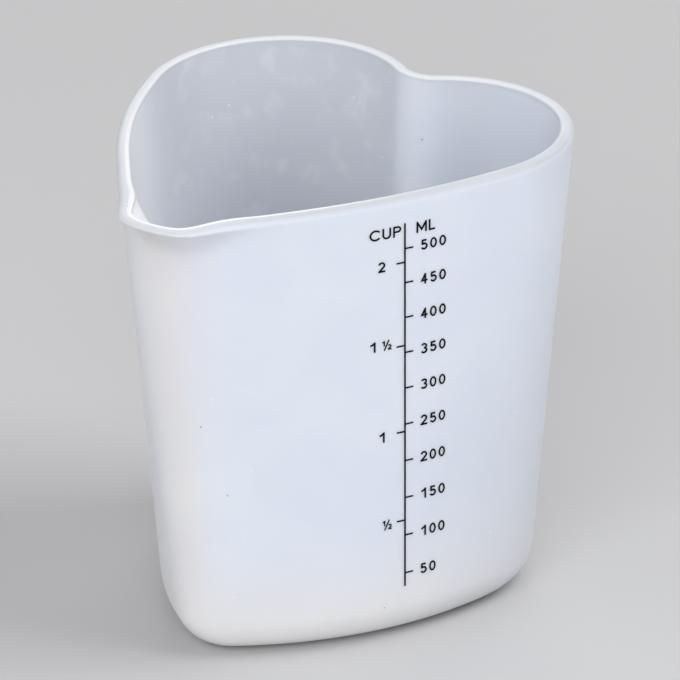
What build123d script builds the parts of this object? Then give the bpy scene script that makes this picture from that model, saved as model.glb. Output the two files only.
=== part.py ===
from build123d import *
import os
from dataclasses import dataclass
from math import atan2, cos, pi, sin, sqrt

# A heart-shaped measuring and mixing cup, moulded in one piece from silicone rubber, with a scale
# printed on one flank. All lengths are in millimetres. +Z is up. The pour lip points along -Y and
# the cleft between the two lobes along +Y. The origin is on the underside, in the middle of the
# cup's width and depth.

# Walls and corners of the moulding
height = 110.0
wall = 3.1
floor = 4.0
base_round = 8.9
floor_round = 8.0
# The rounding of the rim's edges as a share of the wall, and the most that the floor's corner is
# rounded as a share of the tip's radius there
rim_round_share = 0.42
corner_share = 0.9

# Heart outline at the rim, measured from the line through the two lobes' centres
rim_lobe_radius = 30.7
rim_lobe_offset = 21.6
rim_tip_reach = 70.2
rim_flank_radius = 162.0
rim_tip_radius = 28.4
rim_cleft_radius = 8.0

# Heart outline at the underside, and how far it is moved towards the tip
base_lobe_radius = 24.6
base_lobe_offset = 16.7
base_tip_reach = 60.6
base_flank_radius = 82.0
base_tip_radius = 12.6
base_cleft_radius = 7.0
base_shift = 3.0

# Pour lip: how far down the flare starts, the height of its upright edge at the rim, how far it
# reaches past the tip, half its width, and how much lower its end is than the rim
lip_depth = 14.0
lip_edge = 1.5
lip_reach = 8.0
lip_half_width = 13.2
lip_dip = 0.9
# The lip's half width at its foot, as a share of that at the rim, how squarely it ends at its
# sides, and how late on the way up it flares
lip_foot_share = 0.2
lip_side_power = 6.5
lip_flare_power = 2.9

# Printed scale: the ink's thickness, the widths of its lines, and the reach of its ticks
ink = 0.1
ink_clearance = 0.01
line_width = 0.38
tick_width = 0.34
ml_tick_length = 2.0
cup_tick_length = 2.0
# Where the scale stands along the flank, from lobe to tip, and the ends of its line, as shares,
# and by how many degrees the print is turned anticlockwise
scale_flank_share = 0.4316
line_foot_share = 0.1223
line_head_share = 0.9445
scale_turn = 0.34
# The surface of a fill of so many steps of the scale stands at this share of the height: a first
# share, one more for each step, less a little as the cup widens
fill_first_share = 0.0637
fill_step_share = 0.0893
fill_spread_share = 0.000685

# Lettering of the scale: the pen, and the sizes of figures and of capitals, whose widths are
# shares of their height
stroke = 0.40
figure_height = 2.52
figure_width = 1.65
figure_gap = 0.63
capital_height = 2.65
capital_gap = 0.5
capital_shares = {"C": 0.95, "U": 0.77, "P": 0.72, "M": 0.94, "L": 0.58}
# How far from the scale's line its numbers and its two unit words stand
ml_number_start = 3.85
ml_word_start = 2.8
cup_word_end = 0.9
cup_number_middle = 5.5
half_middle = 4.4
one_before_half_middle = 7.6
word_height_share = 0.9294
# A built-up half: the size of its figures and its pen, how far its figures stand from its middle,
# and how far its bar reaches, as shares of a figure's
half_figure_share = 0.52
half_pen_share = 0.68
half_apart_share = 0.44
half_rise_share = 0.2
half_bar_share = 0.34

# How far cuts run past what they cut, how near an edge must lie to a height to be taken as at
# it, and the upward part of its normal from which a face is taken as level
overrun = 5.0
hair = 0.001
level_share = 0.9

ml_step = 50
ml_marks = range(1, 11)
ml_per_cup = 240
cup_marks = {"half_cup": 0.5, "1_cup": 1, "1_half_cup": 1.5, "2_cup": 2}
# How much higher than its tick each number of cups is printed
cup_number_rises = {"half_cup": -0.27, "1_cup": -0.41, "1_half_cup": 0.97, "2_cup": -0.15}


@dataclass
class Heart:
    """Sizes of a heart outline: two lobes, a cleft fillet between them, two flanks and a tip."""

    lobe_radius: float
    lobe_offset: float
    tip_reach: float
    flank_radius: float
    tip_radius: float
    cleft_radius: float
    shift: float
    lip_half_width: float

    def inset(self, by):
        """The outline that runs inside this one at an even distance."""
        return Heart(
            self.lobe_radius - by,
            self.lobe_offset,
            self.tip_reach - by,
            self.flank_radius - by,
            self.tip_radius - by,
            self.cleft_radius + by,
            self.shift,
            self.lip_half_width - by,
        )

    def lobe_centre(self):
        return Vector(self.lobe_offset, -self.shift)

    def tip_centre(self):
        return Vector(0, self.tip_radius - self.tip_reach - self.shift)

    def cleft_centre(self):
        reach = self.lobe_radius + self.cleft_radius
        return Vector(0, sqrt(reach**2 - self.lobe_offset**2) - self.shift)

    def flank_centre(self):
        """Centre of the arc that touches the lobe and the tip circle from outside."""
        lobe, tip = self.lobe_centre(), self.tip_centre()
        to_lobe = self.flank_radius - self.lobe_radius
        to_tip = self.flank_radius - self.tip_radius
        apart = (tip - lobe).length
        along = (to_lobe**2 - to_tip**2 + apart**2) / (2 * apart)
        across = sqrt(to_lobe**2 - along**2)
        way = (tip - lobe).normalized()
        return lobe + way * along + Vector(way.Y, -way.X) * across


def mixed(low, high, share):
    """The heart outline that lies a share of the way from one outline to the other."""

    def between(a, b):
        return a + (b - a) * share

    return Heart(
        between(low.lobe_radius, high.lobe_radius),
        between(low.lobe_offset, high.lobe_offset),
        between(low.tip_reach, high.tip_reach),
        1 / between(1 / low.flank_radius, 1 / high.flank_radius),
        between(low.tip_radius, high.tip_radius),
        between(low.cleft_radius, high.cleft_radius),
        between(low.shift, high.shift),
        between(low.lip_half_width, high.lip_half_width),
    )


rim_heart = Heart(
    rim_lobe_radius,
    rim_lobe_offset,
    rim_tip_reach,
    rim_flank_radius,
    rim_tip_radius,
    rim_cleft_radius,
    0,
    lip_half_width,
)
base_heart = Heart(
    base_lobe_radius,
    base_lobe_offset,
    base_tip_reach,
    base_flank_radius,
    base_tip_radius,
    base_cleft_radius,
    base_shift,
    lip_half_width,
)


def heart_at(z):
    """The cup's outer outline at a height."""
    return mixed(base_heart, rim_heart, z / height)


def toward(centre, point, radius):
    """The point of a circle that lies on the line from its centre through a point."""
    return centre + (point - centre).normalized() * radius


def lip_climb(z):
    """How far up the lip's flare a height is, from 0 at its foot to 1 below its upright edge."""
    return min(max(z - height + lip_depth, 0) / (lip_depth - lip_edge), 1)


def tip_points(heart, climb, count=31):
    """Points along the tip from the +X flank to the -X one. The lip moves each one forwards by
    its reach, over 1 plus a power of the point's distance from the middle."""
    centre = heart.tip_centre()
    start = toward(heart.flank_centre(), centre, heart.flank_radius)
    first = atan2(start.Y - centre.Y, start.X - centre.X)
    flare = climb**lip_flare_power
    half_width = heart.lip_half_width * (lip_foot_share + (1 - lip_foot_share) * climb)
    points = []
    for i in range(count):
        angle = first + (-pi - 2 * first) * i / (count - 1)
        point = centre + Vector(cos(angle), sin(angle)) * heart.tip_radius
        sideways = abs(point.X) / half_width
        forwards = flare * lip_reach / (1 + sideways**lip_side_power)
        points.append(point - Vector(0, forwards))
    return points


def across(point):
    """The same point on the cup's other half."""
    return Vector(-point.X, point.Y)


def heart_wire(heart, z):
    """The heart as one closed wire at a height: cleft, lobe, flank, tip, flank and lobe."""
    lobe, cleft, flank = heart.lobe_centre(), heart.cleft_centre(), heart.flank_centre()
    into_cleft = toward(lobe, cleft, heart.lobe_radius)
    off_lobe = toward(flank, lobe, heart.flank_radius)
    tips = tip_points(heart, lip_climb(z))
    back = toward(lobe, lobe + Vector(heart.lobe_radius, heart.lobe_radius), heart.lobe_radius)
    middle = toward(flank, (off_lobe + tips[0]) / 2, heart.flank_radius)
    notch = cleft - Vector(0, heart.cleft_radius)
    way_in = Vector(tips[0].Y - flank.Y, flank.X - tips[0].X).normalized()
    way_out = Vector(way_in.X, -way_in.Y)
    edges = [
        ThreePointArc(across(into_cleft), notch, into_cleft),
        ThreePointArc(into_cleft, back, off_lobe),
        ThreePointArc(off_lobe, middle, tips[0]),
        Spline(tips, tangents=[way_in, way_out]),
        ThreePointArc(tips[-1], across(middle), across(off_lobe)),
        ThreePointArc(across(off_lobe), across(back), across(into_cleft)),
    ]
    wire = Wire([edge for piece in edges for edge in piece.edges()])
    return wire.moved(Location((0, 0, z)))


def body(inset, bottom):
    """A solid heart with the cup's tapering sides, set in from them by a distance. The straight
    wall, the flare of the lip and the upright edge above it are three lofts."""
    flare_start, flare_end = height - lip_depth, height - lip_edge
    rings = 5
    rise = (flare_end - flare_start) / (rings - 1)
    stages = [
        [bottom, flare_start],
        [flare_start + rise * i for i in range(rings)],
        [flare_end, height],
    ]
    lofts = []
    for levels in stages:
        wires = [heart_wire(heart_at(z).inset(inset), z) for z in levels]
        lofts.append(Solid.make_loft(wires, ruled=len(levels) == 2))
    return lofts[0] + lofts[1] + lofts[2]


def dip_cut():
    """What is cut from the top so that the lip's edge curves down towards its end."""
    start = -rim_tip_reach + rim_tip_radius / 2
    run = lip_reach + rim_tip_radius / 2
    radius = (run**2 + lip_dip**2) / (2 * lip_dip)
    wide = 2 * (rim_lobe_offset + rim_lobe_radius)
    block = Box(wide, run + overrun, lip_dip + overrun, align=(Align.CENTER, Align.MAX, Align.MIN))
    roll = Cylinder(radius, wide + overrun, rotation=(0, 90, 0))
    return block.moved(Location((0, start, height - lip_dip))) - roll.moved(
        Location((0, start, height - radius))
    )


def edges_at(shape, z):
    """The edges of a shape whose middles lie at a height."""
    return shape.edges().filter_by_position(Axis.Z, z - hair, z + hair)


def rim_edges(shape):
    """The edges round the level band along the top of the wall."""
    tops = [face for face in shape.faces() if face.normal_at().Z > level_share]
    edges = [edge for face in tops if face.center().Z > height / 2 for edge in face.edges()]
    return [edge for edge in edges if sum(edge.is_same(other) for other in edges) == 1]


def moulding():
    """The rubber cup: outside less hollow, with its corners and its rim rounded."""
    outside = fillet(edges_at(body(0, 0), 0), base_round) - dip_cut()
    hollow = body(wall, floor)
    mouth = extrude(hollow.faces().sort_by(Axis.Z)[-1], overrun)
    corner_radius = heart_at(floor).inset(wall).tip_radius
    floor_corner = min(floor_round, corner_radius * corner_share)
    cup = outside - (fillet(edges_at(hollow, floor), floor_corner) + mouth)
    return fillet(rim_edges(cup), wall * rim_round_share)


def print_plane():
    """The plane that the scale is laid out on. It touches the flank at half the height, its X
    runs to the right as seen from outside, and its Y up the slope."""
    heart = heart_at(height / 2)
    flank = heart.flank_centre()
    to_lobe, to_tip = heart.lobe_centre() - flank, heart.tip_centre() - flank
    start, end = atan2(to_lobe.Y, to_lobe.X), atan2(to_tip.Y, to_tip.X)
    angle = start + (end - start) * scale_flank_share
    out = Vector(cos(angle), sin(angle))
    low, high = (mark.flank_centre().dot(out) + mark.flank_radius for mark in (base_heart, rim_heart))
    lean = atan2(high - low, height)
    level = Plane(
        origin=flank + out * heart.flank_radius + Vector(0, 0, height / 2),
        x_dir=Vector(-out.Y, out.X),
        z_dir=out * cos(lean) - Vector(0, 0, sin(lean)),
    )
    return Plane(level.location * Location((0, 0, 0), (0, 0, scale_turn)))


scale_plane = print_plane()


def along_print(z):
    """How far up the print plane a height is."""
    return (z - scale_plane.origin.Z) / scale_plane.y_dir.Z


def fill_height(ml):
    """The height of the surface of a fill."""
    steps = ml / ml_step
    return height * (fill_first_share + fill_step_share * steps - fill_spread_share * steps**2)


class Cell:
    """The space of one character about its own middle, and the pen that draws it: how far the
    character and the pen's middle line reach to the right and up."""

    def __init__(self, width, tall, pen):
        self.pen = pen
        self.right, self.top = width / 2, tall / 2
        self.x, self.y = self.right - pen / 2, self.top - pen / 2

    def drawn(self, *paths):
        """Paths drawn with the pen, as one shape."""
        shape = Sketch()
        for path in paths:
            shape += trace(path, self.pen)
        return shape


def zero(cell):
    return Ellipse(cell.right, cell.top) - Ellipse(cell.right - cell.pen, cell.top - cell.pen)


def one(cell):
    stem = cell.x * 0.62
    flag = Polyline((-cell.x * 0.95, cell.y * 0.45), (0, cell.y * 0.68), (stem, cell.y))
    return cell.drawn(Line((stem, -cell.top), (stem, cell.top)), flag)


def two(cell):
    bowl = CenterArc((0, cell.y - cell.x), cell.x, 165, -200)
    path = bowl + Line(bowl @ 1, (-cell.x, -cell.y))
    return cell.drawn(path, Line((-cell.right, -cell.y), (cell.right, -cell.y)))


def three(cell):
    small, large = cell.y * 0.46, cell.y * 0.54
    upper = EllipticalCenterArc((0, cell.y - small), cell.x * 0.9, small, -90, arc_size=245)
    lower = EllipticalCenterArc((0, large - cell.y), cell.x, large, -155, arc_size=245)
    return cell.drawn(upper, lower)


def four(cell):
    stem, bar = cell.x * 0.45, -cell.y * 0.4
    path = Polyline((stem, cell.y), (-cell.x * 0.85, bar), (cell.right, bar))
    return cell.drawn(path, Line((stem, -cell.top), (stem, cell.top)))


def five(cell):
    large = cell.y * 0.62
    bowl = EllipticalCenterArc((0, large - cell.y), cell.x, large, -155, arc_size=295)
    return cell.drawn(bowl, Polyline((cell.x * 0.85, cell.y), (-cell.x * 0.65, cell.y), bowl @ 1))


def capital_c(cell):
    mouth = 38
    radius = 2 * cell.x / (1 + cos(mouth * pi / 180))
    centre = (radius - cell.x, 0)
    return cell.drawn(EllipticalCenterArc(centre, radius, cell.y, mouth, arc_size=360 - 2 * mouth))


def capital_u(cell):
    bend = cell.x - cell.y
    left, right = Line((-cell.x, cell.top), (-cell.x, bend)), Line((cell.x, bend), (cell.x, cell.top))
    return cell.drawn(left + CenterArc((0, bend), cell.x, 180, 180) + right)


def capital_p(cell):
    turn_radius = cell.y * 0.52
    turn = CenterArc((cell.x - turn_radius, cell.y - turn_radius), turn_radius, -90, 180)
    loop = Line((-cell.right, cell.y), turn @ 1) + turn
    loop += Line(turn @ 0, (-cell.right, cell.y - 2 * turn_radius))
    return cell.drawn(Line((-cell.x, -cell.top), (-cell.x, cell.top)), loop)


def capital_m(cell):
    stems = [Line((side, -cell.top), (side, cell.top)) for side in (-cell.x, cell.x)]
    return cell.drawn(*stems, Polyline((-cell.x, cell.y), (0, -cell.y * 0.55), (cell.x, cell.y)))


def capital_l(cell):
    return cell.drawn(Polyline((-cell.x, cell.top), (-cell.x, -cell.y), (cell.right, -cell.y)))


figures = {"0": zero, "1": one, "2": two, "3": three, "4": four, "5": five}
capitals = {"C": capital_c, "U": capital_u, "P": capital_p, "M": capital_m, "L": capital_l}


def written(text):
    """A row of figures or of capitals whose left edge is at zero, centred on its height."""
    start = 0
    faces = []
    for character in text:
        if character in figures:
            draw, width, tall, gap = figures[character], figure_width, figure_height, figure_gap
        else:
            draw, tall, gap = capitals[character], capital_height, capital_gap
            width = capital_height * capital_shares[character]
        shape = draw(Cell(width, tall, stroke))
        faces += shape.moved(Location((start + width / 2, 0))).faces()
        start += width + gap
    return faces


def half():
    """A built-up half about its own middle: a small 1, a slanting bar and a small 2."""
    small = Cell(
        figure_width * half_figure_share,
        figure_height * half_figure_share,
        stroke * half_pen_share,
    )
    aside, rise = figure_width * half_apart_share, figure_height * half_rise_share
    reach, climb = figure_width * half_bar_share, figure_height / 2
    upper = one(small).moved(Location((-aside, rise)))
    lower = two(small).moved(Location((aside, -rise)))
    bar = small.drawn(Line((-reach, -climb), (reach, climb)))
    return [*upper.faces(), *bar.faces(), *lower.faces()]


def placed(faces, x, z):
    """Faces moved to a distance from the scale's line and to a height."""
    return [face.moved(Location((x, along_print(z)))) for face in faces]


def cup_number(name):
    """The faces of a number of cups, beside its tick."""
    cups = cup_marks[name]
    z = fill_height(cups * ml_per_cup) + cup_number_rises[name]
    whole, part = divmod(cups, 1)
    if whole == 0:
        return placed(half(), -half_middle, z)
    figure = written(f"{whole:.0f}")
    if part == 0:
        return placed(figure, -cup_number_middle - figure_width / 2, z)
    start = -one_before_half_middle - figure_width / 2
    return placed(figure, start, z) + placed(half(), -half_middle, z)


def ticks(volumes, direction, length):
    """Ticks at fill volumes on one side of the scale's line, whose side they touch."""
    long = length - line_width / 2
    middle = direction * (line_width / 2 + long / 2)
    tick = Rectangle(long, tick_width).faces()
    return [face for ml in volumes for face in placed(tick, middle, fill_height(ml))]


def drawings():
    """Every node of the printed scale by name, as faces on the print plane."""
    foot, head = (along_print(height * share) for share in (line_foot_share, line_head_share))
    words = height * word_height_share
    cup_word_width = capital_height * sum(capital_shares[letter] for letter in "CUP") + 2 * capital_gap
    print_line = Rectangle(line_width, head - foot).moved(Location((0, (head + foot) / 2)))
    result = {
        "scale_line": print_line.faces(),
        "ml_ticks": ticks([ml_step * step for step in ml_marks], 1, ml_tick_length),
        "cup_ticks": ticks([ml_per_cup * cups for cups in cup_marks.values()], -1, cup_tick_length),
        "word_ml": placed(written("ML"), ml_word_start, words),
        "word_cup": placed(written("CUP"), -cup_word_end - cup_word_width, words),
    }
    for step in ml_marks:
        volume = ml_step * step
        number = placed(written(f"{volume}"), ml_number_start, fill_height(volume))
        result[f"number_{volume}_ml"] = number
    for name in cup_marks:
        result[f"number_{name}"] = cup_number(name)
    return result


def ink_skin():
    """A layer as thick as the ink over the flank that carries the scale, a clearance off the wall."""
    wide = rim_lobe_offset + rim_lobe_radius
    room = Box(wide, wide, height, align=(Align.CENTER, Align.CENTER, Align.MIN))
    window = room.moved(Location((scale_plane.origin.X, scale_plane.origin.Y)))
    return (body(-ink_clearance - ink, 0) & window) - body(-ink_clearance, 0)


def printed(faces, skin):
    """The ink of one node: the layer on the wall where the faces fall on it."""
    stamp = [extrude(scale_plane * face, overrun, both=True) & skin for face in faces]
    return Compound(children=[solid for piece in stamp for solid in piece.solids()])


os.makedirs("parts", exist_ok=True)
cup = moulding()
centring = Location((0, -cup.bounding_box().center().Y))
print(f"cup_body: {cup.volume:.0f} mm3")
export_step(cup.moved(centring), "parts/cup_body.step")

skin = ink_skin()
for name, faces in drawings().items():
    mark = printed(faces, skin)
    print(f"{name}: {len(mark.solids())} solids, {mark.volume:.3f} mm3")
    export_step(mark.moved(centring), f"parts/{name}.step")
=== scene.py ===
# %% [markdown]
# # A heart-shaped silicone mixing cup
#
# The cup is one piece of milky silicone rubber, with a scale in black ink printed on one flank.
# The packed model brings both at their real size. The ink keeps its own solids and gets a finish.
# The rubber is modelled again as one fine surface, so that its rim, lip and corners bend softly
# and its walls can stand a little out of true, as soft walls do. Last come the floor, the light
# and the camera.

from dataclasses import dataclass
from math import cos, pi, radians, sin

import bpy
import numpy as np
from mathutils import Matrix, Vector


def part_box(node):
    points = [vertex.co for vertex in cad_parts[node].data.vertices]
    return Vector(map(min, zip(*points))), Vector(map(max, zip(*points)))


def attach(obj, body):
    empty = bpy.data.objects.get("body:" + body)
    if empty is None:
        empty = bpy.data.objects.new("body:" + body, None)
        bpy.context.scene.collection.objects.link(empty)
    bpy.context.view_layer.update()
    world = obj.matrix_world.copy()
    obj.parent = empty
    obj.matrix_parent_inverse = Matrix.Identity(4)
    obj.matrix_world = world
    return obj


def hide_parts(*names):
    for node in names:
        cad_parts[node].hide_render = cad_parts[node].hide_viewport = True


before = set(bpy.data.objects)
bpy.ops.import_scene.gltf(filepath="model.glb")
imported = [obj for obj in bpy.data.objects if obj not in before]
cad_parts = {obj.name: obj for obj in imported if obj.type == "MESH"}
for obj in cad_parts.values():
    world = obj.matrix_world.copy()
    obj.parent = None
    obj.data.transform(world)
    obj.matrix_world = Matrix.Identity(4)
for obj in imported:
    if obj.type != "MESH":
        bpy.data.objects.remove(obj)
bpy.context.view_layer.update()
print("nodes:", sorted(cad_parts))

# %% [markdown]
# ## The sizes that drive the shape
#
# A mould maker would give two heart outlines, one at the rim and one at the underside, and let
# the wall run straight from one to the other. Each heart is made of arcs only: a lobe, a flank and
# a tip, with a small hollow arc in the cleft. The same values drive the solid model, here in
# metres.

# %% Name the cup's sizes
MM = 0.001

HEIGHT = 110 * MM
WALL = 3.1 * MM
FLOOR = 4 * MM
BASE_ROUND = 8.9 * MM
FLOOR_ROUND = 8 * MM
RIM_OUTER_ROUND = 1.4 * MM
RIM_INNER_ROUND = 0.4 * MM

LIP_DEPTH = 14 * MM
LIP_EDGE = 1.5 * MM
LIP_REACH = 8 * MM
LIP_HALF_WIDTH = 13.2 * MM
LIP_DIP = 0.9 * MM
LIP_FOOT_SHARE = 0.2
LIP_SIDE_POWER = 6.5
LIP_FLARE_POWER = 2.9
FLARE_START = HEIGHT - LIP_DEPTH

print(f"a cup {HEIGHT / MM:.0f} mm tall with walls of {WALL / MM:.1f} mm")


# %% Describe a heart outline
@dataclass
class Heart:
    """Sizes of a heart outline. Each may be an array, so that one object holds many outlines."""

    lobe_radius: float
    lobe_offset: float
    tip_reach: float
    flank_radius: float
    tip_radius: float
    cleft_radius: float
    shift: float


RIM_HEART = Heart(30.7 * MM, 21.6 * MM, 70.2 * MM, 162 * MM, 28.4 * MM, 8 * MM, 0)
BASE_HEART = Heart(24.6 * MM, 16.7 * MM, 60.6 * MM, 82 * MM, 12.6 * MM, 7 * MM, 3 * MM)


def heart_at(z):
    """The outline at each height: every size goes evenly from the base's value to the rim's, and
    the flank's bend, which is one over its radius, does so too."""
    share = z / HEIGHT
    sizes = {
        name: getattr(BASE_HEART, name) * (1 - share) + getattr(RIM_HEART, name) * share
        for name in Heart.__dataclass_fields__
    }
    bend = (1 - share) / BASE_HEART.flank_radius + share / RIM_HEART.flank_radius
    sizes["flank_radius"] = 1 / bend
    return Heart(**sizes)


print("lobes at half the height:", heart_at(HEIGHT / 2).lobe_radius / MM, "mm")


# %% [markdown]
# ## Points round the heart
#
# The mesh is a grid: one direction runs round the heart, the other up the outside, over the rim
# and down the inside. Every ring has the same stations, a fixed number to each arc, so that the
# lines of the grid run straight up the wall. An inset outline has the same centres with smaller
# outer radii and a larger cleft radius, which keeps the wall evenly thick round the corners.

# %% Lay out the stations round the heart
CLEFT_STATIONS, LOBE_STATIONS, FLANK_STATIONS, TIP_STATIONS = 8, 74, 62, 54


def stations(count, last):
    """Even shares from 0 towards 1, with the 1 itself only on the last arc."""
    return np.arange(count + last) / count


ARC_SHARES = [
    stations(CLEFT_STATIONS, 0),
    stations(LOBE_STATIONS, 0),
    stations(FLANK_STATIONS, 0),
    stations(TIP_STATIONS, 1),
]
HALF_COUNT = sum(len(shares) for shares in ARC_SHARES)
AROUND = 2 * HALF_COUNT - 2
print(f"{AROUND} stations round the cup")


# %% Work out one outline at every station
def unfold(array, sign=1):
    """Values of the +X half, carried on over the -X half, without its two shared ends. The sign
    is -1 for X itself, which is negative there."""
    return np.concatenate([array, sign * array[..., -2:0:-1]], axis=-1)


def arc_points(centre, radius, angles):
    """Points of an arc: its centre, plus its radius times the angles' cosine and sine."""
    return centre[0] + radius * np.cos(angles), centre[1] + radius * np.sin(angles)


def outline(heart, inset):
    """X and Y at every station of a heart. The flank's arc touches the lobe and the tip circle
    from outside, so its centre lies at the two differences of the radii from their centres."""
    lobe_radius, flank_radius = heart.lobe_radius - inset, heart.flank_radius - inset
    tip_radius, cleft_radius = heart.tip_radius - inset, heart.cleft_radius + inset
    tip_y = heart.tip_radius - heart.tip_reach
    cleft_y = np.sqrt((lobe_radius + cleft_radius) ** 2 - heart.lobe_offset**2)

    to_lobe, to_tip = flank_radius - lobe_radius, flank_radius - tip_radius
    apart = np.hypot(heart.lobe_offset, tip_y)
    along = (to_lobe**2 - to_tip**2 + apart**2) / (2 * apart)
    aside = np.sqrt(to_lobe**2 - along**2)
    way_x, way_y = -heart.lobe_offset / apart, tip_y / apart
    flank = (heart.lobe_offset + way_x * along + way_y * aside, way_y * along - way_x * aside)

    cleft_end = np.arctan2(-cleft_y, heart.lobe_offset)
    lobe_start = np.arctan2(cleft_y, -heart.lobe_offset)
    lobe_end = np.arctan2(-flank[1], heart.lobe_offset - flank[0])
    flank_end = np.arctan2(tip_y - flank[1], -flank[0])
    spans = [(-pi / 2, cleft_end), (lobe_start, lobe_end), (lobe_end, flank_end), (flank_end, -pi / 2)]
    centres = [(0, cleft_y), (heart.lobe_offset, 0), flank, (0, tip_y)]
    radii = [cleft_radius, lobe_radius, flank_radius, tip_radius]

    pieces = [
        arc_points(centre, radius, start + (end - start) * shares)
        for centre, radius, (start, end), shares in zip(centres, radii, spans, ARC_SHARES)
    ]
    x, y = (np.concatenate([np.atleast_1d(piece[axis]) for piece in pieces], axis=-1) for axis in (0, 1))
    return unfold(x, -1), unfold(y) - heart.shift


rim_x, rim_y = outline(RIM_HEART, 0)
print(f"the rim's heart is {np.ptp(rim_x) / MM:.1f} mm wide and {np.ptp(rim_y) / MM:.1f} mm long")

# %% [markdown]
# ## The wall and the pour lip
#
# Up to the foot of the lip the wall is ruled: each grid line is straight from the underside to
# that height. Above it the tip is pushed forwards into a small pouring lip, little by little and
# then steeply, and the last stretch below the rim is upright again. That fold is what leaves the
# thin dark line under the rim's edge. A flare that is spread over the whole height would look
# like a jug, and this lip is only a flick.


# %% Push the tip forwards into a lip
def lip_forwards(x, z, inset):
    """How far the lip moves a point towards -Y: its reach, times the climb to the flare's power,
    over one plus a power of the distance from the middle as a share of the half width there."""
    climb = np.clip((z - FLARE_START) / (LIP_DEPTH - LIP_EDGE), 0, 1)
    half_width = (LIP_HALF_WIDTH - inset) * (LIP_FOOT_SHARE + (1 - LIP_FOOT_SHARE) * climb)
    return LIP_REACH * climb**LIP_FLARE_POWER / (1 + np.abs(x / half_width) ** LIP_SIDE_POWER)


def lip_drop(x, y, inset):
    """How much lower than the rim the edge is: it follows a large circle that touches the rim's
    plane half a tip radius behind the tip, and is the lip's dip lower where the lip ends."""
    behind = RIM_HEART.tip_radius / 2
    run = LIP_REACH + behind
    radius = (run**2 + LIP_DIP**2) / (2 * LIP_DIP)
    front = y - lip_forwards(x, HEIGHT, inset)
    past = np.clip(behind - RIM_HEART.tip_reach - front, 0, None)
    return radius - np.sqrt(radius**2 - past**2)


def wall_at(z, inset):
    """X, Y and Z at every station of the wall, for columns of heights and of insets. Below the
    lip's foot the wall goes evenly from the base's outline to the one at that foot. Above it
    each ring sinks by a growing share of the drop, and its front half is pushed forwards."""
    low = outline(BASE_HEART, inset)
    foot = outline(heart_at(FLARE_START), inset)
    high = outline(heart_at(z), inset)
    share = np.clip(z / FLARE_START, 0, 1)
    x, y = (
        np.where(z > FLARE_START, above, base * (1 - share) + at_foot * share)
        for base, at_foot, above in zip(low, foot, high)
    )
    sink = np.clip((z - FLARE_START) / LIP_DEPTH, 0, 1)
    level = z - sink * lip_drop(*outline(RIM_HEART, inset), inset)
    forwards = np.where(y < 0, lip_forwards(x, level, inset), 0)
    return x, y - forwards, level


lip_end = wall_at(np.array([[HEIGHT]]), np.array([[0.0]]))
print(f"the lip ends {-lip_end[1].min() / MM:.1f} mm in front of the lobes' centres")

# %% [markdown]
# ## A wall that stands a little out of true
#
# Silicone this thin doesn't hold a perfect line. The flank without a scale bows out by half a
# millimetre below the rim and is drawn in beside the lip. Two soft bumps do that, each a bell
# curve round a point of the rim, and both fade towards the base, which the floor keeps in shape.
# The flank with the scale stays true, because the ink rests on it. The same bell curves say
# further on where the rubber's tone changes and where light and shade are painted into it.

# %% Bow the far flank
BOWS = [
    (-43 * MM, -27 * MM, 15 * MM, 0.7 * MM),
    (-24 * MM, -57 * MM, 8 * MM, -0.35 * MM),
]


def bells(x, y, places):
    """The sum of bell curves in plan. Each place has its X and Y, how wide the bell spreads, and
    how high it is; the value falls off with the square of the distance over the spread."""
    total = np.zeros_like(x)
    for place_x, place_y, spread, tall in places:
        total += tall * np.exp(-((x - place_x) ** 2 + (y - place_y) ** 2) / (2 * spread**2))
    return total


def bowed(x, y, z):
    """Moves points along the ring's outward normal by the sum of the bows, times the square of
    the share of the height. The tiny length added to each step keeps the division safe."""
    along_x = np.roll(x, -1, axis=1) - np.roll(x, 1, axis=1)
    along_y = np.roll(y, -1, axis=1) - np.roll(y, 1, axis=1)
    length = np.hypot(along_x, along_y) + 1e-12
    by = bells(x, y, BOWS) * (z / HEIGHT) ** 2
    return x - by * along_y / length, y + by * along_x / length


print(f"the far flank bows out by up to {max(place[3] for place in BOWS) / MM:.1f} mm")

# %% [markdown]
# ## The section through the wall
#
# The grid's other direction follows the section of the moulding: out along the underside, round
# the base's corner, up the outside, over the rim, down the inside, round the floor's corner and in
# to the middle. The rim is soft outside and crisp inside, where the mould's core met its frame.
# Each ring is a height, an inset from the outside and a share by which the flat floor and
# underside shrink to their middle.

# %% Write the two helpers for rings
def turn(count):
    """Angles of a quarter turn in radians, with both ends."""
    return np.radians(np.linspace(0, 90, count))


def ring_list(z, inset, shrink=1.0):
    """Rows of height, inset and shrinking share. A single value holds for every row."""
    return np.stack(np.broadcast_arrays(z, inset, shrink), axis=1)


print("a corner in four steps, in radians:", turn(5).round(2))

# %% List the rings of the section
CORNER_RINGS, RIM_RINGS, FLAT_RINGS, TOP_RINGS = 16, 9, 12, 7
LOWER_OUTER_RINGS, LOWER_INNER_RINGS, LIP_RINGS = 42, 40, 30

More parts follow.
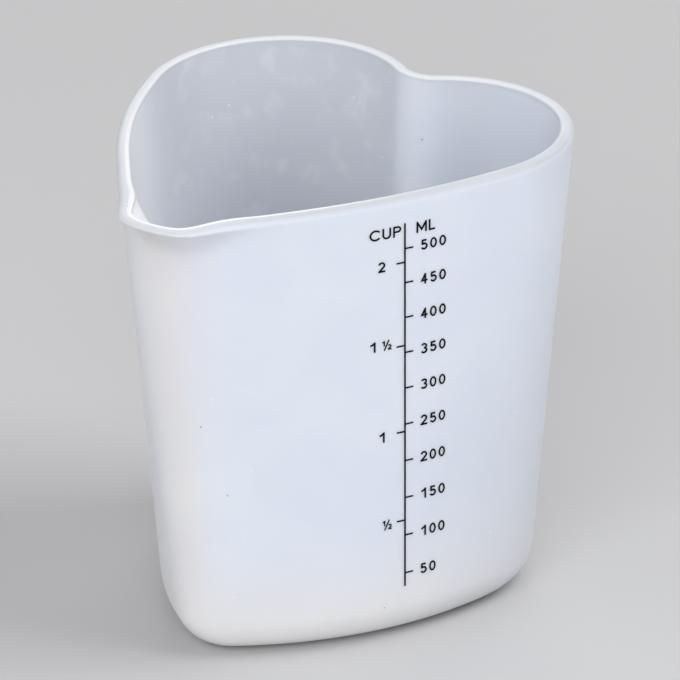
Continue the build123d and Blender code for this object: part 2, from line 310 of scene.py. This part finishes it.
base_turn, rim_turn = turn(CORNER_RINGS), turn(RIM_RINGS)
floor_turn = base_turn[::-1]
outer_rise, inner_rise = HEIGHT - RIM_OUTER_ROUND, HEIGHT - RIM_INNER_ROUND
outer_up, inner_up = np.sin(rim_turn[1:]), np.sin(rim_turn[::-1])
outer_in, inner_in = 1 - np.cos(rim_turn[1:]), 1 - np.cos(rim_turn[::-1])
section = np.concatenate(
    [
        ring_list(0, BASE_ROUND, np.linspace(0, 1, FLAT_RINGS)[:-1]),
        ring_list(BASE_ROUND * (1 - np.cos(base_turn)), BASE_ROUND * (1 - np.sin(base_turn))),
        ring_list(np.linspace(BASE_ROUND, FLARE_START, LOWER_OUTER_RINGS)[1:], 0),
        ring_list(np.linspace(FLARE_START, outer_rise, LIP_RINGS)[1:], 0),
        ring_list(outer_rise + RIM_OUTER_ROUND * outer_up, RIM_OUTER_ROUND * outer_in),
        ring_list(HEIGHT, np.linspace(RIM_OUTER_ROUND, WALL - RIM_INNER_ROUND, TOP_RINGS)[1:-1]),
        ring_list(inner_rise + RIM_INNER_ROUND * inner_up, WALL - RIM_INNER_ROUND * inner_in),
        ring_list(np.linspace(inner_rise, FLARE_START, LIP_RINGS)[1:], WALL),
        ring_list(np.linspace(FLARE_START, FLOOR + FLOOR_ROUND, LOWER_INNER_RINGS)[1:], WALL),
        ring_list(
            FLOOR + FLOOR_ROUND * (1 - np.cos(floor_turn[1:])),
            WALL + FLOOR_ROUND * (1 - np.sin(floor_turn[1:])),
        ),
        ring_list(FLOOR, WALL + FLOOR_ROUND, np.linspace(1, 0, FLAT_RINGS)[1:]),
    ]
)
print(f"{len(section)} rings over the section")

# %% [markdown]
# ## One closed surface
#
# Every ring is worked out at once, as arrays of rings by stations. The first and the last ring
# have shrunk to a point each, so they become one vertex with a fan of triangles, and all the
# rest is quads.

# %% Put the grid into a mesh
def grid_faces(rings, around):
    """Corner numbers of a closed grid: a fan, quads ring by ring, and a fan at the other end."""
    first = 1 + np.arange(rings)[:, None] * around + np.arange(around)
    after = np.roll(first, -1, axis=1)
    quads = np.stack([first[:-1], after[:-1], after[1:], first[1:]], axis=-1).reshape(-1, 4)
    top = 1 + rings * around
    start = np.stack([np.zeros(around, int), after[0], first[0]], axis=-1)
    end = np.stack([np.full(around, top), first[-1], after[-1]], axis=-1)
    return quads, np.concatenate([start, end])


def surface_mesh(name, points, quads, triangles):
    """A smooth-shaded mesh from an array of points and arrays of corner numbers."""
    mesh = bpy.data.meshes.new(name)
    mesh.vertices.add(len(points))
    mesh.vertices.foreach_set("co", points.astype(np.float32).ravel())
    corners = np.concatenate([triangles.ravel(), quads.ravel()])
    sizes = np.concatenate([np.full(len(triangles), 3), np.full(len(quads), 4)])
    mesh.loops.add(len(corners))
    mesh.loops.foreach_set("vertex_index", corners.astype(np.int32))
    mesh.polygons.add(len(sizes))
    mesh.polygons.foreach_set("loop_start", (np.cumsum(sizes) - sizes).astype(np.int32))
    mesh.polygons.foreach_set("loop_total", sizes.astype(np.int32))
    mesh.polygons.foreach_set("use_smooth", np.ones(len(sizes), bool))
    mesh.update(calc_edges=True)
    mesh.validate()
    return mesh


print("quads and triangles of a grid of 3 rings by 8:", [len(part) for part in grid_faces(3, 8)])

# %% Work out the cup's points
z, inset, shrink = (column[:, None] for column in section.T)
x, y, level = wall_at(z, inset)
x, y = bowed(x, y, level)
middle_y = RIM_HEART.tip_radius / 2 - RIM_HEART.tip_reach / 2
x, y = x * shrink, middle_y + (y - middle_y) * shrink
cad_low, cad_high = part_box("cup_body")
centring = cad_high.y - y.max()
points = np.stack([x, y + centring, np.broadcast_to(level, x.shape)], axis=-1)

rings = points[1:-1].reshape(-1, 3)
points = np.concatenate([points[:1, 0], rings, points[-1:, 0]])
quads, triangles = grid_faces(len(section) - 2, AROUND)
cup_mesh = surface_mesh("cup", points, quads, triangles)
low, high = points.min(axis=0), points.max(axis=0)
print(f"{len(points)} vertices; ends of the cup in mm:", (low / MM).round(2), (high / MM).round(2))
print("ends of the solid in mm:", [round(v / MM, 2) for v in (*cad_low, *cad_high)])

# %% [markdown]
# ## The cup takes the solid's place
#
# The fine surface hides the solid moulding and rides on the only body there is. Nothing on a
# cup moves, so it has no pivot of its own.

# %% Make the cup and let it stand for the solid
cup = bpy.data.objects.new("silicone_cup", cup_mesh)
bpy.context.scene.collection.objects.link(cup)
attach(cup, "root")
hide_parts("cup_body")
print(f"the cup has {len(cup_mesh.polygons)} faces")

# %% [markdown]
# ## Where the rubber's tone changes, and where light and shade are painted
#
# Milky rubber isn't one tone. It looks bluer where the wall is thin and even, and whiter in thick
# corners. Over that, light and shade are painted into the colour: painted shade inside, lifted by
# painted light and a painted glow where light comes through from the far side, painted shade on
# one lobe and on the rim's top, and a painted highlight along the rim's inner edge. Each of these
# is a share stored at every vertex. It follows from the ring's place in the section, from the
# station, and from bell curves in plan, and the finish mixes its tones by it.

# %% Store how blue the wall is
END_SHARES = [(0, 0.2), (0.2, 1), (1, 1), (1, 0.2)]
FAR_FLANK_SHARE = 0.35
INSIDE_SHARE = 0.8


def store(name, shares):
    """Keeps a share for each station of each ring, and one for either end, with the mesh."""
    grid = np.broadcast_to(shares, x.shape)
    values = np.concatenate([grid[:1, 0], grid[1:-1].ravel(), grid[-1:, 0]])
    data = cup_mesh.attributes.new(name, "FLOAT", "POINT").data
    data.foreach_set("value", values.astype(np.float32))
    print(f"{name}: {values.mean():.2f} on average")


past_rim = np.arange(len(section))[:, None] > np.argmax(section[:, 0] + section[:, 1])
half_blue = [a + (b - a) * shares for (a, b), shares in zip(END_SHARES, ARC_SHARES)]
blue = unfold(np.concatenate(half_blue))
blue[HALF_COUNT:] *= FAR_FLANK_SHARE
store("blue", np.maximum(blue, INSIDE_SHARE * past_rim))

# %% Store the painted shade inside and on one lobe, and the painted glow where light comes through
LIGHT_PLACES = [
    (-43 * MM, -42 * MM, 18 * MM, 1),
    (-8 * MM, -72 * MM, 13 * MM, 1),
    (0, 14 * MM, 7 * MM, 0.6),
    (30 * MM, 6 * MM, 20 * MM, 0.85),
]
PAINTED_GLOW_PLACES = [
    (-43 * MM, -42 * MM, 15 * MM, 1),
    (-8 * MM, -72 * MM, 12 * MM, 0.6),
    (0, 14 * MM, 5 * MM, 0.45),
]
DIM_SHADE_PLACES = [(50 * MM, 0, 22 * MM, 1)]

# The inside's share is painted shade, lifted where light comes through the far wall.
store("inside", past_rim * np.clip(1 - bells(x, y, LIGHT_PLACES), 0, 1))
# The glow's share is painted light where light comes through the wall.
store("painted_glow", past_rim * np.clip(bells(x, y, PAINTED_GLOW_PLACES), 0, 1))
# The dim share is painted shade on the outside of the +X lobe.
store("dim_shade", ~past_rim * bells(x, y, DIM_SHADE_PLACES))

# %% Store the painted shade on the rim and the painted highlight along its inner edge
RIM_SHADE_PLACES = [(34 * MM, -48 * MM, 28 * MM, 0.5), (45 * MM, -5 * MM, 20 * MM, 0.6)]
EDGE_HIGHLIGHT_PLACES = [(20 * MM, -66 * MM, 20 * MM, 0.85), (-34 * MM, -56 * MM, 14 * MM, 0.35)]
RIM_SHADE_SHARE, EDGE_HIGHLIGHT_SHARE = 0.52, 0.15
RIM_BAND, RIM_FADE = 1.3 * MM, 1.1 * MM
EDGE_BAND, EDGE_FADE = 1.2 * MM, 0.35 * MM

on_top = np.clip((z - HEIGHT + RIM_BAND) / RIM_FADE, 0, 1)
at_edge = np.clip((inset - WALL + EDGE_BAND) / EDGE_FADE, 0, 1) * (z > inner_rise)
# The rim's share is painted shade on the rim's top.
store("rim", on_top * (RIM_SHADE_SHARE + bells(x, y, RIM_SHADE_PLACES)))
# The edge's share is a painted highlight along the rim's inner edge.
store("edge_highlight", at_edge * (EDGE_HIGHLIGHT_SHARE + bells(x, y, EDGE_HIGHLIGHT_PLACES)))

# %% [markdown]
# ## Finishes made of nodes
#
# Each finish is a small network that reads Object coordinates, so its pattern has a real size and
# stays where it is from every side. A class holds one network under construction, and its methods
# keep each step to a line: a noise, a ramp, a mix of two colours. A second class adds the shader
# that every finish ends in, with its constants and its bumps.


# %% Write helpers for a network of nodes
class Network:
    """A tree of nodes under construction, with its Object coordinates."""

    def __init__(self, tree):
        self.tree = tree
        self.place = self.add("ShaderNodeTexCoord").outputs["Object"]

    def add(self, kind, **settings):
        """A new node of a kind, with its own settings by name."""
        node = self.tree.nodes.new(kind)
        for name, value in settings.items():
            setattr(node, name, value)
        return node

    def join(self, source, target):
        """A link from one node's output to another's input."""
        self.tree.links.new(source, target)

    def stored(self, name):
        """A share that is stored with the mesh."""
        return self.add("ShaderNodeAttribute", attribute_name=name).outputs["Fac"]

    def noise(self, size, detail=2.0, distortion=0.0):
        """Soft clouds about as large as the given size, from 0 to 1."""
        node = self.add("ShaderNodeTexNoise")
        node.inputs["Scale"].default_value = 1 / size
        node.inputs["Detail"].default_value = detail
        node.inputs["Distortion"].default_value = distortion
        self.join(self.place, node.inputs["Vector"])
        return node.outputs["Fac"]

    def specks(self, apart, radius, core_share=0.6):
        """Ones in small round spots, about as far apart as given, and zeros elsewhere. A spot is
        full in its core, a share of its radius, and fades from there outwards."""
        node = self.add("ShaderNodeTexVoronoi")
        node.inputs["Scale"].default_value = 1 / apart
        self.join(self.place, node.inputs["Vector"])
        return self.ramp(node.outputs["Distance"], radius / apart, core_share * radius / apart)

    def ramp(self, source, lowest, highest, first=0.0, last=1.0):
        """Goes smoothly from first to last while the source goes from lowest to highest."""
        node = self.add("ShaderNodeMapRange", interpolation_type="SMOOTHSTEP")
        self.join(source, node.inputs["Value"])
        sockets = ("From Min", "From Max", "To Min", "To Max")
        for socket, value in zip(sockets, (lowest, highest, first, last)):
            node.inputs[socket].default_value = value
        return node.outputs["Result"]

    def times(self, first, second):
        """Two values multiplied."""
        node = self.add("ShaderNodeMath", operation="MULTIPLY")
        self.join(first, node.inputs[0])
        self.join(second, node.inputs[1])
        return node.outputs[0]

    def mix(self, factor, first, second):
        """The first colour where the factor is 0 and the second where it is 1. The node mixes
        several kinds of value: inputs 6 and 7 and output 2 are the ones for colours."""
        node = self.add("ShaderNodeMix", data_type="RGBA")
        self.join(factor, node.inputs["Factor"])
        for socket, colour in ((node.inputs[6], first), (node.inputs[7], second)):
            if isinstance(colour, tuple):
                socket.default_value = (*colour, 1)
            else:
                self.join(colour, socket)
        return node.outputs[2]


print("a network offers:", ", ".join(name for name in vars(Network) if name[0] != "_"))


# %% Write helpers for a finish
class Finish(Network):
    """A material under construction: a network that ends in a shader."""

    def __init__(self, name):
        self.material = bpy.data.materials.new(name)
        self.material.use_nodes = True
        super().__init__(self.material.node_tree)
        self.shader = self.tree.nodes["Principled BSDF"]

    def fixed(self, **values):
        """Constants on the shader's own sockets, named in lower case with underscores."""
        for name, value in values.items():
            socket = name.replace("_", " ").title().replace("Ior", "IOR")
            self.shader.inputs[socket].default_value = value

    def feed(self, socket, source):
        """Lets a network's output drive one of the shader's sockets."""
        self.join(source, self.shader.inputs[socket])

    def bump(self, height, depth):
        """Raises the surface by the height's value times a depth, on top of what is there."""
        node = self.add("ShaderNodeBump")
        node.inputs["Distance"].default_value = depth
        self.join(height, node.inputs["Height"])
        if self.shader.inputs["Normal"].is_linked:
            self.join(self.shader.inputs["Normal"].links[0].from_socket, node.inputs["Normal"])
        self.feed("Normal", node.outputs["Normal"])


print("a finish adds:", ", ".join(name for name in vars(Finish) if name[0] != "_"))

# %% [markdown]
# ## The rubber's finish
#
# Silicone without pigment is milky: light goes a millimetre or two into it and comes out again,
# so corners glow and shadows soften. Subsurface scattering gives that. A sheet of transparent
# glass with fog inside would be nearer to the real stuff, but it takes far longer to settle and
# looks the same at this thickness. On top lie what every cup of this kind has after a while in a
# workshop: clouds in the milk, a satin skin that is a little uneven, and specks of dust.

# %% Make the milky silicone
RUBBER_IOR = 1.41
SCATTER_WEIGHT, SCATTER_REACH = 0.6, 1.3 * MM
SCATTER_RADIUS = (1.0, 0.95, 0.9)
GREY_MILK = [(0.80, 0.80, 0.825), (0.83, 0.83, 0.845)]
BLUE_MILK = [(0.765, 0.818, 0.925), (0.795, 0.845, 0.945)]
CLOUD_SIZE = 26 * MM
BLUE_FROM, BLUE_UNTIL = (4 * MM, 34 * MM), (118 * MM, 106 * MM)

silicone = Finish("milky_silicone")
silicone.fixed(ior=RUBBER_IOR, subsurface_weight=SCATTER_WEIGHT)
silicone.fixed(subsurface_scale=SCATTER_REACH, subsurface_radius=SCATTER_RADIUS)

axes = silicone.add("ShaderNodeSeparateXYZ")
silicone.join(silicone.place, axes.inputs[0])
up = axes.outputs["Z"]
clouds = silicone.ramp(silicone.noise(CLOUD_SIZE, detail=4, distortion=0.6), 0.3, 0.7)
grey_milk = silicone.mix(clouds, *GREY_MILK)
blue_milk = silicone.mix(clouds, *BLUE_MILK)
even_wall = silicone.times(silicone.ramp(up, *BLUE_FROM), silicone.ramp(up, *BLUE_UNTIL))
blueness = silicone.times(even_wall, silicone.ramp(silicone.stored("blue"), 0, 0.9))
milk = silicone.mix(blueness, grey_milk, blue_milk)
print("milk:", len(silicone.tree.nodes), "nodes")

# %% [markdown]
# ## Painted light and shade laid over the milk
#
# These tones are light and shade painted into the colour: painted light on the bottom corner,
# painted shade on one lobe, under the lip and inside, and a painted glow where the far wall lets
# light through. On the real cup little light reaches the inside, and to trace that takes very many
# bounces through thin walls, so each tone is mixed in where its share is stored.

# %% Add the painted light on the corner, and the painted shade on one lobe and under the lip
CORNER_LIGHT_TONE, CORNER_LIGHT_HEIGHTS = (0.88, 0.875, 0.86), (13 * MM, 1 * MM)
DIM_SHADE_TONE, DIM_SHADE_HEIGHTS = (0.64, 0.67, 0.72), (100 * MM, 15 * MM)
UNDER_LIP_SHADE_TONE, UNDER_LIP_SHADE_HEIGHTS = (0.71, 0.71, 0.725), (86 * MM, 100 * MM)

# Painted light: the bottom corner turns lighter towards the underside.
milk = silicone.mix(silicone.ramp(up, *CORNER_LIGHT_HEIGHTS, 0, 0.7), milk, CORNER_LIGHT_TONE)
# Painted shade on the outside of the +X lobe, stronger towards the base.
dim_shade = silicone.times(silicone.stored("dim_shade"), silicone.ramp(up, *DIM_SHADE_HEIGHTS, 0.1, 0.6))
milk = silicone.mix(dim_shade, milk, DIM_SHADE_TONE)
# Painted shade under the lip, near the top where the wall is not blue.
no_blue = silicone.ramp(silicone.stored("blue"), 0.6, 0.1, 0, 0.4)
under_lip_shade = silicone.times(silicone.ramp(up, *UNDER_LIP_SHADE_HEIGHTS), no_blue)
milk = silicone.mix(under_lip_shade, milk, UNDER_LIP_SHADE_TONE)
print("with the corner, the dim side and under the lip:", len(silicone.tree.nodes), "nodes")

# %% Add the painted shade inside, its dust and the painted glow where light comes through
INSIDE_SHADE_TONE = (0.605, 0.63, 0.675)
DUST_TONE, DUST_SIZE = (0.80, 0.81, 0.84), 7 * MM
PAINTED_GLOW_TONE = (0.94, 0.94, 0.945)

inside_shade = silicone.stored("inside")
# Painted shade inside the cup.
milk = silicone.mix(silicone.ramp(inside_shade, 0, 1, 0, 0.88), milk, INSIDE_SHADE_TONE)
dust = silicone.ramp(silicone.noise(DUST_SIZE, detail=6, distortion=0.2), 0.5, 0.7)
dust = silicone.times(dust, silicone.ramp(inside_shade, 0.5, 1, 0, 0.34))
milk = silicone.mix(dust, milk, DUST_TONE)
# Painted glow where light comes through the wall.
milk = silicone.mix(silicone.stored("painted_glow"), milk, PAINTED_GLOW_TONE)
print("with the inside:", len(silicone.tree.nodes), "nodes")

# %% Add the painted shade on the rim, the painted highlight on its edge and the specks
RIM_SHADE_TONE = (0.55, 0.58, 0.63)
EDGE_HIGHLIGHT_TONE = (0.97, 0.975, 0.98)
LINT_TONE, LINT_APART, LINT_RADIUS = (0.90, 0.905, 0.92), 6.5 * MM, 0.3 * MM
GRIT_TONE, GRIT_APART, GRIT_RADIUS = (0.30, 0.30, 0.31), 11 * MM, 0.26 * MM

# Painted shade on the rim's top.
milk = silicone.mix(silicone.stored("rim"), milk, RIM_SHADE_TONE)
# Painted highlight along the rim's inner edge.
milk = silicone.mix(silicone.stored("edge_highlight"), milk, EDGE_HIGHLIGHT_TONE)
milk = silicone.mix(silicone.specks(LINT_APART, LINT_RADIUS), milk, LINT_TONE)
milk = silicone.mix(silicone.specks(GRIT_APART, GRIT_RADIUS), milk, GRIT_TONE)
silicone.feed("Base Color", milk)
print("all tones:", len(silicone.tree.nodes), "nodes")

# %% Give the skin its satin and its unevenness
SATIN_SIZE, SATIN_ROUGHNESS = 11 * MM, (0.30, 0.42)
WAVE_SIZE, WAVE_DEPTH = 24 * MM, 0.25 * MM
GRAIN_SIZE, GRAIN_DEPTH = 1.6 * MM, 0.012 * MM

satin = silicone.noise(SATIN_SIZE, detail=4, distortion=0.3)
satin = silicone.ramp(satin, 0.25, 0.75, *SATIN_ROUGHNESS)
silicone.feed("Roughness", satin)
silicone.bump(silicone.noise(WAVE_SIZE, detail=1), WAVE_DEPTH)
silicone.bump(silicone.noise(GRAIN_SIZE), GRAIN_DEPTH)
cup_mesh.materials.append(silicone.material)
print("silicone:", len(silicone.tree.nodes), "nodes")

# %% [markdown]
# ## The ink's finish
#
# The scale is screen-printed, so its black is thin and matte, a little greyer where the screen
# left less ink. The printed solids keep their place and size and only take this finish.

# %% Make the ink
INK_TONES = [(0.002, 0.002, 0.002), (0.007, 0.007, 0.008)]
INK_ROUGHNESS = (0.55, 0.75)
THIN_SPOT_SIZE, DULL_SPOT_SIZE = 0.7 * MM, 0.5 * MM
INK_GRAIN_SIZE, INK_GRAIN_DEPTH = 0.3 * MM, 0.01 * MM

ink = Finish("screen_ink")
ink.fixed(ior=1.45, specular_ior_level=0.15)
thin_spots = ink.ramp(ink.noise(THIN_SPOT_SIZE), 0.35, 0.75)
ink.feed("Base Color", ink.mix(thin_spots, *INK_TONES))
ink.feed("Roughness", ink.ramp(ink.noise(DULL_SPOT_SIZE), 0.3, 0.7, *INK_ROUGHNESS))
ink.bump(ink.noise(INK_GRAIN_SIZE), INK_GRAIN_DEPTH)
printed = [node for name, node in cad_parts.items() if name != "cup_body"]
for node in printed:
    node.data.materials.clear()
    node.data.materials.append(ink.material)
print(len(printed), "printed nodes take the ink")

# %% [markdown]
# ## Floor, backdrop and light
#
# A plain pale floor carries the cup and its shadow. It is a little darker than the rubber, so
# that the milky outline stands out, and the view and its reflections see the same tone all round.
# A large softbox left of the camera lights the front, a high one on the right reaches into the
# cup, and two weak ones lift the tip and draw the light along the far rim.

# %% Lay the floor and set the backdrop
FLOOR_REACH = 6.0
BACKDROP = (0.56, 0.56, 0.57)

corners = [(x, y, 0) for x, y in ((-1, -1), (1, -1), (1, 1), (-1, 1))]
floor_mesh = bpy.data.meshes.new("floor")
floor_mesh.from_pydata([Vector(corner) * FLOOR_REACH for corner in corners], [], [(0, 1, 2, 3)])
floor = bpy.data.objects.new("floor", floor_mesh)
bpy.context.scene.collection.objects.link(floor)
paper = Finish("pale_paper")
paper.fixed(base_color=(*BACKDROP, 1), roughness=0.9)
floor_mesh.materials.append(paper.material)
print(f"a floor {2 * FLOOR_REACH:.0f} m across")

# %% Light the surroundings
WORLD_SHARE = 0.33
world = bpy.data.worlds.new("studio")
bpy.context.scene.world = world
world.use_nodes = True
world_nodes, world_links = world.node_tree.nodes, world.node_tree.links
surround = world_nodes["Background"]
surround.inputs["Color"].default_value = (1, 1, 1, 1)
surround.inputs["Strength"].default_value = WORLD_SHARE
seen = world_nodes.new("ShaderNodeBackground")
seen.inputs["Color"].default_value = (*BACKDROP, 1)
chosen = world_nodes.new("ShaderNodeMixShader")
path = world_nodes.new("ShaderNodeLightPath")
any_view = path.outputs["Is Camera Ray"]
for kind in ("Is Glossy Ray", "Is Transmission Ray"):
    either = world_nodes.new("ShaderNodeMath")
    either.operation = "MAXIMUM"
    world_links.new(any_view, either.inputs[0])
    world_links.new(path.outputs[kind], either.inputs[1])
    any_view = either.outputs[0]
world_links.new(any_view, chosen.inputs["Fac"])
world_links.new(surround.outputs[0], chosen.inputs[1])
world_links.new(seen.outputs[0], chosen.inputs[2])
world_links.new(chosen.outputs[0], world_nodes["World Output"].inputs["Surface"])
print(f"the world gives {WORLD_SHARE:.0%} of white")


# %% Hang the softboxes
def direction(azimuth, elevation):
    """The way from the cup to a place: azimuth turns from -Y towards +X, elevation rises."""
    a, e = radians(azimuth), radians(elevation)
    return Vector((sin(a) * cos(e), -cos(a) * cos(e), sin(e)))


def softbox(name, azimuth, elevation, distance, size, share):
    """A square lamp that looks at the cup. At share 1 it alone would show a white card that
    faces it as white: such a card gets the lamp's power over pi squared times the distance
    squared."""
    data = bpy.data.lights.new(name, "AREA")
    data.size = size
    data.energy = share * pi**2 * distance**2
    lamp = bpy.data.objects.new(name, data)
    bpy.context.scene.collection.objects.link(lamp)
    away = direction(azimuth, elevation)
    lamp.location = Vector((0, 0, HEIGHT / 2)) + away * distance
    lamp.rotation_euler = away.to_track_quat("Z", "Y").to_euler()
    print(f"{name}: {data.energy:.1f} W at {distance} m")


# Each has a name, azimuth, elevation, distance and size in metres, and a share of white.
SOFTBOXES = [
    ("front_softbox", 22, 28, 1.5, 1.2, 0.585),
    ("left_softbox", -45, 38, 1.7, 1.0, 0.10),
    ("side_softbox", 118, 52, 1.7, 1.0, 0.51),
    ("back_softbox", 205, 40, 1.6, 1.0, 0.20),
]
for values in SOFTBOXES:
    softbox(*values)

# %% [markdown]
# ## The camera
#
# The photograph was taken from a little above and from the right of the lip, through a long lens:
# the two sides of the cup run almost parallel. The camera's turns and distance were fitted to the
# outline, the rim and the printed marks.

# %% Set up the camera
AZIMUTH, ELEVATION, ROLL = 36.771, 24.41, -1.569
DISTANCE = 2.119
AIM_RIGHT, AIM_UP = -5.199 * MM, -1.783 * MM
SENSOR = 36.0
FOCAL_LENGTH = 498.27

back = direction(AZIMUTH, ELEVATION)
level_right = Vector((cos(radians(AZIMUTH)), sin(radians(AZIMUTH)), 0))
level_up = back.cross(level_right)
aim = Vector((0, centring, HEIGHT / 2)) + level_right * AIM_RIGHT + level_up * AIM_UP
roll = radians(ROLL)
right = level_right * cos(roll) + level_up * sin(roll)
upright = level_up * cos(roll) - level_right * sin(roll)

camera_data = bpy.data.cameras.new("camera")
camera_data.sensor_width = SENSOR
camera_data.lens = FOCAL_LENGTH
camera_data.clip_end = 4 * FLOOR_REACH
camera = bpy.data.objects.new("camera", camera_data)
bpy.context.scene.collection.objects.link(camera)
pose = Matrix([right, upright, back]).transposed().to_4x4()
pose.translation = aim + back * DISTANCE
camera.matrix_world = pose
bpy.context.scene.camera = camera
bpy.context.scene.view_settings.view_transform = "Standard"
print(f"the camera stands {DISTANCE} m away, {ELEVATION} degrees up")

# %% [markdown]
# ## The cup's size
#
# The dressed cup has to be the size of the solid one, so both boxes are printed where the cup's
# points are worked out.
